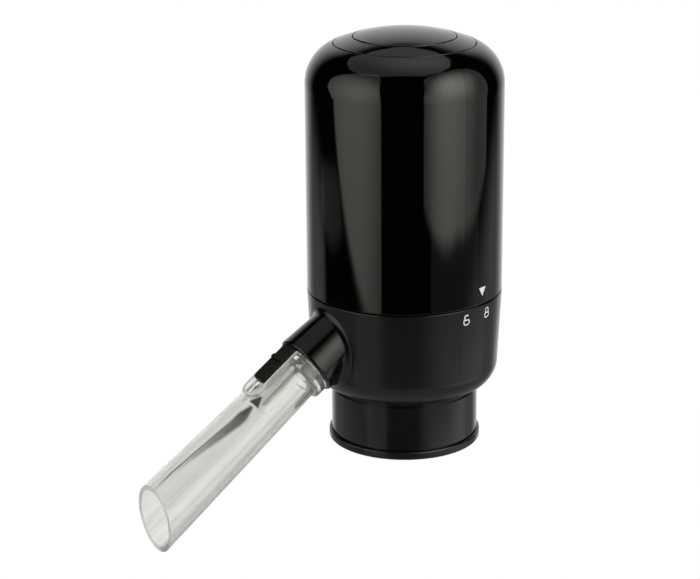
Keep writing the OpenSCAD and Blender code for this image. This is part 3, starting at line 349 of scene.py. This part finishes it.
def blank(name, ior):
    """A new material, with its tree, its shader and the place in the part's frame, in metres."""
    mat = bpy.data.materials.new(name)
    mat.use_nodes = True
    tree = Tree(mat.node_tree)
    shader = next(n for n in mat.node_tree.nodes if n.type == "BSDF_PRINCIPLED")
    shader.inputs["IOR"].default_value = ior
    return mat, tree, shader, tree.add("ShaderNodeTexCoord").outputs["Object"]


def surface(name, first, second, spread, rough, grain, metallic=0.0, ior=1.5):
    """A procedural material: colour and roughness drift between two values, over a fine grain.

    spread is the number of noise cells to a metre, and grain is (cells to a metre, strength, depth in
    metres). Where rough is None, roughness is left to the caller. The colour's socket is returned too."""
    mat, tree, shader, place = blank(name, ior)
    drift = tree.noise(place, spread, 3.0)
    tone = tree.mix(drift, (*first, 1), (*second, 1))
    tree.feed(shader.inputs["Base Color"], tone)
    if rough:
        tree.feed(shader.inputs["Roughness"], tree.ramp(drift, 0.3, 0.7, *rough))
    shader.inputs["Metallic"].default_value = metallic
    cells, strength, depth = grain
    bump = tree.add("ShaderNodeBump")
    bump.inputs["Strength"].default_value = strength
    bump.inputs["Distance"].default_value = depth
    tree.feed(bump.inputs["Height"], tree.noise(place, cells, 3.0))
    tree.feed(shader.inputs["Normal"], bump.outputs[0])
    return mat, tree, shader, place, tone


def plain(*args, **kwargs):
    return surface(*args, **kwargs)[0]


def housing_plastic():
    """Satin black that is a little glossier on the boss, which stands out from the body."""
    mat, tree, shader, place, _ = surface("satin_black", (0.0010, 0.0010, 0.0010), (0.0016, 0.0016, 0.0015), 60,
                                          None, (5000, 0.06, 0.00004), ior=1.41)
    boss_from, boss_to, glossier = 0.0362, 0.0385, -0.09
    flat = tree.vector("MULTIPLY", place, (1.0, 1.0, 0.0))
    boss = tree.ramp(tree.vector("LENGTH", flat), boss_from, boss_to)
    satin = tree.ramp(tree.noise(place, 70.0, 3.0), 0.3, 0.7, 0.18, 0.23)
    tree.feed(shader.inputs["Roughness"], tree.math("MULTIPLY_ADD", boss, glossier, satin))
    return mat


def battery_wrap():
    """The cells' printed sleeve, with bare metal past both of its ends."""
    mat, tree, shader, place, sleeve = surface("cell_wrap", (0.42, 0.26, 0.06), (0.48, 0.31, 0.09), 80,
                                               (0.26, 0.34), (200, 0.03, 0.0002))
    low, high, seam = *CELL_Z, 0.1
    z = tree.vector("DOT_PRODUCT", place, (0.0, 0.0, 1 / MM))
    bare = tree.math("MAXIMUM", tree.ramp(z, low, low + seam, 1.0, 0.0), tree.ramp(z, high - seam, high))
    brushed = tree.mix(tree.noise(place, 3000.0, 2.0), (0.55, 0.56, 0.57, 1), (0.66, 0.67, 0.68, 1))
    tree.feed(shader.inputs["Base Color"], tree.mix(bare, sleeve, brushed))
    tree.feed(shader.inputs["Metallic"], bare)
    return mat


def spout_plastic():
    """Clear moulded plastic with flow lines along the spout and a frosted cut, with painted shade on one side:
    a streak along the air channel, a wedge at the track's end and a band low down.
    """
    mat, tree, shader, place = blank("clear_plastic", 1.49)

    times, most = tree.times, tree.most

    def between(value, low, high, fade_in, fade_out):
        """1 from low to high, with a fade before low and one after high."""
        return times(tree.ramp(value, low - fade_in, low), tree.ramp(value, high, high + fade_out, 1.0, 0.0))

    # Millimetres along the spout, up from its axis and across it, then round it from the top
    rel = tree.vector("SUBTRACT", place, tuple(SPOUT_FOOT * MM))
    s = tree.vector("DOT_PRODUCT", rel, tuple(SPOUT_AXIS / MM))
    u = tree.vector("DOT_PRODUCT", rel, tuple(SPOUT_UP / MM))
    x = tree.vector("DOT_PRODUCT", rel, (1 / MM, 0.0, 0.0))
    r = tree.math("SQRT", tree.math("ADD", tree.math("POWER", x, 2.0), tree.math("POWER", u, 2.0)))
    around = tree.math("ARCTAN2", x, u)
    wall = tree.math("MULTIPLY_ADD", tree.math("SUBTRACT", s, TUBE_S), TUBE_WIDENS, TUBE_R - 0.5)
    outer = tree.math("GREATER_THAN", r, wall)

    # Flow lines, drawn out along the spout
    run = tree.add("ShaderNodeCombineXYZ")
    for socket, value in zip(run.inputs, (x, u, tree.math("MULTIPLY", s, 0.03))):
        tree.feed(socket, value)
    lines = tree.ramp(tree.noise(run.outputs[0], 0.9, 4.0, 0.6), 0.3, 0.7)

    # Painted shade: a dark streak where the air channel's floor meets the wall, painted on this side only, with
    # a painted dark line along its top and at its start
    centre = tree.ramp(s, 88.0, 117.0, math.radians(34.0), math.radians(14.5), "LINEAR")
    aside = times(tree.math("SUBTRACT", around, centre), r)
    half = times(tree.ramp(s, 84.0, 120.0, 2.2, 0.4, "LINEAR"), tree.ramp(s, 79.0, 86.0, 0.35, 1.0))
    near = tree.ramp(tree.math("SUBTRACT", tree.math("ABSOLUTE", aside), half), -0.7, 0.6, 1.0, 0.0)
    painted_shade_streak = times(near, tree.ramp(s, 79.2, 80.6), tree.ramp(s, 88.0, 124.0, 0.95, 0.30))
    off_top = tree.math("ABSOLUTE", tree.math("MULTIPLY_ADD", half, 0.85, aside))
    top = times(tree.ramp(off_top, 0.15, 0.55, 1.0, 0.0), between(s, 94.0, 118.0, 6.0, 9.0))
    start = times(near, between(s, 80.2, 82.0, 1.0, 7.0), tree.ramp(aside, -0.4, 1.4, 1.0, 0.25))
    painted_shade_line = times(outer, most(times(top, 0.8), start))

    # Painted shade: a dark wedge at the end of the track
    reach = times(tree.math("ABSOLUTE", tree.math("SUBTRACT", around, math.radians(33.0))), r)
    reach = tree.math("SUBTRACT", reach, tree.ramp(s, 74.8, 79.0, 0.3, 2.2, "LINEAR"))
    painted_shade_wedge = times(outer, between(s, 75.2, 78.6, 0.8, 0.7), tree.ramp(reach, -0.3, 0.4, 0.97, 0.0))

    # The slanted cut, the clearer root and track, the air channel's shelf, and the track's side and top edge
    cut = tree.math("MULTIPLY_ADD", u, math.sin(OUTLET_SLANT),
                    times(tree.math("SUBTRACT", s, OUTLET_S), math.cos(OUTLET_SLANT)))
    rim = tree.ramp(cut, -0.25, -0.08)
    track = times(tree.ramp(s, TRACK_END_S - 1.0, TRACK_END_S + 1.0, 1.0, 0.0),
                  tree.math("GREATER_THAN", u, SHELF_U - 0.3))
    crisp = most(tree.ramp(s, TUBE_S + 1.0, TUBE_S + 2.5, 1.0, 0.0), track)
    off_shelf = tree.math("ABSOLUTE", tree.math("SUBTRACT", u, SHELF_U + 0.6))
    shelf = times(tree.ramp(off_shelf, 0.8, 1.5, 1.0, 0.0), between(s, TUBE_S + 3.0, TRACK_END_S, 3.0, 2.0))
    side = times(tree.math("GREATER_THAN", x, TRACK_HALF - 0.5), tree.ramp(u, SHELF_U + 1.6, SHELF_U + 2.2),
                 crisp, tree.ramp(s, TUBE_S - 0.4, TUBE_S + 0.4))
    edge = times(tree.ramp(u, TRACK_TOP - 0.12, TRACK_TOP - 0.04), crisp)

    # Painted shade: a darker band low on the side that has the painted streak
    painted_shade_underside = times(tree.ramp(around, math.radians(112), math.radians(142), 0.0, 0.75),
                  tree.ramp(around, math.radians(164), math.radians(178), 1.0, 0.0))

    tone = tree.mix(lines, (0.85, 0.855, 0.84, 1), (0.97, 0.97, 0.957, 1))
    tone = tree.mix(painted_shade_underside, tone, (0.42, 0.43, 0.42, 1))
    tone = tree.mix(crisp, tone, (0.96, 0.965, 0.955, 1))
    # The painted shade darkens the colour to near black and takes clearness away there, so that the dark shows
    shade = most(times(outer, painted_shade_streak), painted_shade_wedge, painted_shade_line)
    tree.feed(shader.inputs["Base Color"], tree.mix(shade, tone, (0.02, 0.021, 0.023, 1)))
    opaque_and_painted_shade = most(*(times(mask, share) for mask, share in
                   ((side, 0.12), (edge, 0.55), (rim, 0.55), (shelf, 0.30), (painted_shade_wedge, 0.7), (painted_shade_line, 0.6))))
    clear = tree.math("MULTIPLY_ADD", crisp, 0.06, 0.82)
    tree.feed(shader.inputs["Transmission Weight"], tree.math("SUBTRACT", clear, opaque_and_painted_shade))
    smooth = tree.ramp(lines, 0.0, 1.0, 0.02, 0.05)
    tree.feed(shader.inputs["Roughness"], tree.math("MULTIPLY_ADD", rim, 0.35, smooth))
    return mat


gloss_black = plain("gloss_black", (0.0004, 0.0004, 0.0004), (0.0009, 0.0009, 0.0009), 40, (0.03, 0.06),
                    (45, 0.02, 0.0004))
collar_black = plain("collar_black", (0.0040, 0.0040, 0.0040), (0.0055, 0.0055, 0.0053), 60, (0.11, 0.16),
                     (4000, 0.04, 0.00004))
black_rubber = plain("black_rubber", (0.0020, 0.0020, 0.0020), (0.0034, 0.0034, 0.0034), 90, (0.20, 0.28),
                     (3500, 0.08, 0.00004))
slider_black = plain("slider_black", (0.0015, 0.0015, 0.0015), (0.0045, 0.0045, 0.0045), 900, (0.36, 0.50),
                     (2200, 0.6, 0.00014), ior=1.31)
silicone = plain("silicone", (0.72, 0.74, 0.72), (0.80, 0.81, 0.79), 120, (0.38, 0.48),
                 (900, 0.05, 0.0001))
grey_plastic = plain("grey_plastic", (0.11, 0.12, 0.13), (0.14, 0.15, 0.16), 90, (0.42, 0.52),
                     (3000, 0.10, 0.00005))
white_plastic = plain("white_plastic", (0.72, 0.73, 0.71), (0.78, 0.79, 0.77), 90, (0.40, 0.50),
                      (3000, 0.08, 0.00005))
steel = plain("steel", (0.54, 0.55, 0.56), (0.64, 0.65, 0.66), 400, (0.22, 0.36),
              (6000, 0.08, 0.00003), metallic=1.0)
copper_winding = plain("copper_winding", (0.42, 0.17, 0.06), (0.55, 0.25, 0.10), 500, (0.25, 0.40),
                       (2500, 0.25, 0.0001), metallic=1.0)
board_green = plain("board_green", (0.012, 0.10, 0.035), (0.025, 0.15, 0.06), 300, (0.30, 0.42),
                    (1500, 0.10, 0.00005))
gasket_red = plain("gasket_red", (0.30, 0.035, 0.02), (0.38, 0.06, 0.035), 200, (0.55, 0.68),
                   (2500, 0.15, 0.00005))
white_print = plain("white_print", (0.84, 0.85, 0.86), (0.92, 0.93, 0.94), 1500, (0.45, 0.58),
                    (6000, 0.10, 0.00002))
satin_black = housing_plastic()
cell_wrap = battery_wrap()
clear_plastic = spout_plastic()

slots = {"gloss_black": gloss_black, "satin_black": satin_black, "clear_plastic": clear_plastic,
         "black_rubber": black_rubber, "silicone": silicone, "grey_plastic": grey_plastic,
         "white_plastic": white_plastic, "steel": steel, "copper_winding": copper_winding,
         "cell_wrap": cell_wrap, "board_green": board_green, "gasket_red": gasket_red}


def dress(name, mat):
    mesh = nodes[name].data
    mesh.materials.clear()
    mesh.materials.append(mat)


for row in frame["record"]["subparts"]:
    dress(row["node"], slots[row["material_slot"]])
dress("bottle_collar", collar_black)
dress("spout_slider", slider_black)


# Pieces

def housing_r(z):
    return BODY_R + (z - Z_SEAM) * math.tan(DRAFT)


def off_housing(p):
    """Distance of a point outside the housing's side or rounded corner, and the way out."""
    r = math.hypot(p.x, p.y)
    dx, dz = r - CORNER_X, p.z - Z_CORNER
    if dx * math.sin(DRAFT) + dz * math.cos(DRAFT) > 0:
        out_r, out_z = math.cos(DRAFT), -math.sin(DRAFT)
        far = (r - housing_r(p.z)) * math.cos(DRAFT)
    else:
        length = math.hypot(dx, dz)
        out_r, out_z = dx / length, dz / length
        far = length - CORNER_R
    return far, Vector((p.x / r * out_r, p.y / r * out_r, out_z))


def mesh_piece(name, points, faces, body, mat, normals=None):
    """A new smooth piece from points in millimetres, riding on a body."""
    mesh = bpy.data.meshes.new(name)
    mesh.from_pydata([tuple(Vector(p) * MM) for p in points], [], faces)
    mesh.update()
    for face in mesh.polygons:
        face.use_smooth = True
    if normals:
        mesh.normals_split_custom_set_from_vertices(normals)
    mesh.materials.append(mat)
    piece = bpy.data.objects.new(name, mesh)
    scene.collection.objects.link(piece)
    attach(piece, body)
    return piece


def boss_fillet():
    """The rounded root of the boss: where a ball touches both the boss and the housing."""
    ball, sides, steps, sunk = 3.0, 144, 10, 0.3
    (s0, r0), (s1, r1) = BOSS
    slope = math.atan2(r1 - r0, s1 - s0)
    points, normals, faces = [], [], []
    around = steps + 4
    for side in range(sides):
        angle = 2 * math.pi * side / sides
        spoke = Vector((1, 0, 0)) * math.cos(angle) + SPOUT_UP * math.sin(angle)
        out_boss = spoke * math.cos(slope) - SPOUT_AXIS * math.sin(slope)

        def ball_at(s):
            r = r0 + (s - s0) * math.tan(slope)
            return SPOUT_FOOT + SPOUT_AXIS * s + spoke * r + out_boss * ball

        low, high = 25.0, 70.0
        for _ in range(50):
            middle = (low + high) / 2
            if off_housing(ball_at(middle))[0] < ball:
                low = middle
            else:
                high = middle
        centre = ball_at(low)
        out_housing = off_housing(centre)[1]
        between = math.acos(max(-1.0, min(1.0, out_boss.dot(out_housing))))
        for step in range(steps + 1):
            part = step / steps
            way = out_boss * math.sin((1 - part) * between) + out_housing * math.sin(part * between)
            way = way / math.sin(between)
            points.append(centre - way * ball)
            normals.append(way)
        crease = centre - (out_boss + out_housing) * ball / (1 + math.cos(between))
        points.append(centre - out_housing * (ball + sunk))
        normals.append(-out_housing)
        points.append(crease - (out_boss + out_housing).normalized() * sunk)
        normals.append(-(out_boss + out_housing).normalized())
        points.append(centre - out_boss * (ball + sunk))
        normals.append(-out_boss)
    for side in range(sides):
        after = (side + 1) % sides
        for k in range(around):
            n = (k + 1) % around
            faces.append((side * around + k, side * around + n, after * around + n, after * around + k))
    mesh_piece("boss_fillet", points, faces, "base", satin_black, normals)


boss_fillet()


def bend(start, pull, other_pull, end, steps):
    """Points of a cubic curve."""
    points = []
    for k in range(steps + 1):
        t = k / steps
        points.append(start * (1 - t) ** 3 + pull * 3 * t * (1 - t) ** 2
                      + other_pull * 3 * t * t * (1 - t) + end * t ** 3)
    return points


def ring(path, i, radius, sides):
    """Points round the path at its point i."""
    across = Vector((1, 0, 0))
    along = (path[min(i + 1, len(path) - 1)] - path[max(i - 1, 0)]).normalized()
    first = (across - along * across.dot(along)).normalized()
    second = along.cross(first)
    angles = [2 * math.pi * k / sides for k in range(sides)]
    return [path[i] + (first * math.cos(a) + second * math.sin(a)) * radius for a in angles]


def hose(name, node, path, radius, bore, mat, sides=32, rounding=0.12):
    """A round hose, or a wire where bore is 0, along a path, with rounded ends, in place of a node."""
    path = [path[0], path[0] + (path[1] - path[0]).normalized() * rounding, *path[1:-1],
            path[-1] + (path[-2] - path[-1]).normalized() * rounding, path[-1]]
    last = len(path) - 1
    loops = [(0, radius - rounding), *((i, radius) for i in range(1, last)), (last, radius - rounding)]
    if bore:
        loops += [(i, bore) for i in range(last, -1, -1)]
    n = len(loops)
    points, faces = [], []
    for i, r in loops:
        points += ring(path, i, r, sides)
    for k in range(n if bore else n - 1):
        low, high = k * sides, (k + 1) % n * sides
        faces += [(low + j, low + (j + 1) % sides, high + (j + 1) % sides, high + j) for j in range(sides)]
    if not bore:
        faces.append(tuple(reversed(range(sides))))
        faces.append(tuple((n - 1) * sides + j for j in range(sides)))
    piece = mesh_piece(name, points, faces, "base", mat)
    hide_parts(node)


suction = [INLET_END, *bend(INLET_END + INLET_NIPPLE, INLET_END + HOSE_REACH, PUMP_END + HOSE_REACH,
                            PUMP_END + PUMP_NIPPLE, 40), PUMP_END]
delivery = [Vector((PUMP_END.x, y, PUMP_END.z)) for y in OUTLET_HOSE_Y]
hose("suction_tube", "suction_hose", suction, HOSE_R, HOSE_BORE, silicone)
hose("delivery_tube", "delivery_hose", delivery, HOSE_R, OUTLET_BORE, silicone)
for name, side, mat, slot in (("lead_red", -1, gasket_red, "gasket_red"),
                              ("lead_black", 1, black_rubber, "black_rubber")):
    low, high = (Vector((side * LEAD_X, 0, z)) for z in LEAD_Z)
    bow, third = side * LEAD_BOW, (high - low) / 3
    lead = bend(low, low + third + Vector((bow, bow, 0)), high - third + Vector((-bow, bow, 0)), high, 32)
    hose(name, "motor_leads", lead, LEAD_R, 0, mat, sides=16, rounding=0.05)


def spring_coil():
    """The button's spring, in a mesh of its own that rides on the cover."""
    coil = bpy.data.objects.new("spring_coil", nodes["button_spring"].data.copy())
    scene.collection.objects.link(coil)
    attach(coil, "cover")
    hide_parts("button_spring")
    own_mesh(coil)


spring_coil()


def clear_spout():
    """The spout in a finer mesh whose walls follow the true cones, so that light bends evenly in it."""
    same_point, slack, cuts, sharp = 0.001, 0.03, 2, math.radians(25)
    work = bmesh.new()
    work.from_mesh(nodes["spout_tube"].data)
    bmesh.ops.remove_doubles(work, verts=work.verts, dist=same_point * MM)

    def from_cone(vert, inset):
        """The vertex's place along and off the spout's axis, and how far it is inside a wall's cone."""
        rel = vert.co / MM - SPOUT_FOOT
        s = rel.dot(SPOUT_AXIS)
        off = rel - SPOUT_AXIS * s
        return s, off, TUBE_R - inset + (s - TUBE_S) * TUBE_WIDENS - off.length

    def on_cone(vert, inset):
        s, _, gap = from_cone(vert, inset)
        return s > TUBE_S - slack and abs(gap) < slack

    for inset in (0.0, TUBE_WALL):
        walls = [face for face in work.faces if all(on_cone(vert, inset) for vert in face.verts)]
        edges = list({edge for face in walls for edge in face.edges})
        bmesh.ops.subdivide_edges(work, edges=edges, cuts=cuts, use_grid_fill=True)
        for vert in work.verts:
            if on_cone(vert, inset):
                _, off, gap = from_cone(vert, inset)
                vert.co += off.normalized() * gap * MM
    work.verts.index_update()
    points = [vert.co / MM for vert in work.verts]
    faces = [[vert.index for vert in face.verts] for face in work.faces]
    work.free()
    piece = mesh_piece("clear_spout", points, faces, "spout", clear_plastic)
    piece.data.set_sharp_from_angle(angle=sharp)
    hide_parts("spout_tube")


clear_spout()


# Prints

def wrapped(name, outlines, azimuth, z, radius, body, proud=0.03, sunk=0.08):
    """Thin raised prints on the body: each outline is rows of two (across, up) points that bound a strip."""
    points, faces = [], []

    def on_body(across, up, lift):
        r = radius(z + up) + lift
        angle = azimuth + across / radius(z)
        return Vector((r * math.cos(angle), r * math.sin(angle), z + up))

    for strip, closed in outlines:
        start, n = len(points), len(strip)
        for a, b in strip:
            points.extend((on_body(*a, proud), on_body(*b, proud), on_body(*a, -sunk), on_body(*b, -sunk)))
        for i in range(n if closed else n - 1):
            p, q = start + 4 * i, start + 4 * ((i + 1) % n)
            faces.append((p, q, q + 1, p + 1))
            faces.append((p + 2, p + 3, q + 3, q + 2))
            faces.append((p, p + 2, q + 2, q))
            faces.append((p + 1, q + 1, q + 3, p + 3))
        if not closed:
            last = start + 4 * (n - 1)
            faces.append((start, start + 1, start + 3, start + 2))
            faces.append((last, last + 2, last + 3, last + 1))
    piece = mesh_piece(name, points, faces, body, white_print)
    for face in piece.data.polygons:
        face.use_smooth = False


def stroke(line, width, closed=False):
    """A strip of the given width along a line of (across, up) points."""
    strip, n = [], len(line)
    for i, (x, y) in enumerate(line):
        before = line[i - 1] if closed or i > 0 else line[i]
        after = line[(i + 1) % n] if closed or i < n - 1 else line[i]
        dx, dy = after[0] - before[0], after[1] - before[1]
        length = math.hypot(dx, dy)
        ox, oy = -dy / length * width / 2, dx / length * width / 2
        strip.append(((x + ox, y + oy), (x - ox, y - oy)))
    return strip, closed


def arrow(width, height, columns=12):
    """A filled triangle with its tip down, in columns that follow the body's curve."""
    strip, blunt = [], 0.03
    for k in range(columns + 1):
        side = 2 * k / columns - 1
        strip.append(((side * width / 2, 0.0), (side * width / 2, -height * (1 - abs(side)) - blunt)))
    return [(strip, False)]


def padlock(opened, line_w=0.47):
    """A padlock's outline: a body with a flat top, and a shackle that is closed or swung open."""
    half_w, low, high, steps = 1.2, line_w / 2, 2.05, 10
    top_r, foot_r = 0.3, 0.9
    loop = []
    for cx, cy, r, start in ((half_w - top_r, high - top_r, top_r, 0),
                             (top_r - half_w, high - top_r, top_r, 90),
                             (foot_r - half_w, low + foot_r, foot_r, 180),
                             (half_w - foot_r, low + foot_r, foot_r, 270)):
        for k in range(steps + 1):
            a = math.radians(start + 90 * k / steps)
            loop.append((cx + r * math.cos(a), cy + r * math.sin(a)))
    half, leg, overlap, bends = 0.88, 0.95, 0.04, 16
    foot, end = high + line_w / 2 - overlap, math.radians(148 if opened else 180)
    arch = [(-half, foot)]
    arch += [(-half * math.cos(end * k / bends), high + leg + half * math.sin(end * k / bends))
             for k in range(bends + 1)]
    if not opened:
        arch.append((half, foot))
    return [stroke(loop, line_w, True), stroke(arch, line_w)]


wrapped("turn_mark", arrow(3.8, 3.3), math.radians(15.0), 49.95, lambda z: BODY_R, "cover")
wrapped("lock_mark", padlock(False), math.radians(20.1), 37.5, housing_r, "base")
wrapped("open_mark", padlock(True), math.radians(2.5), 37.2, housing_r, "base")
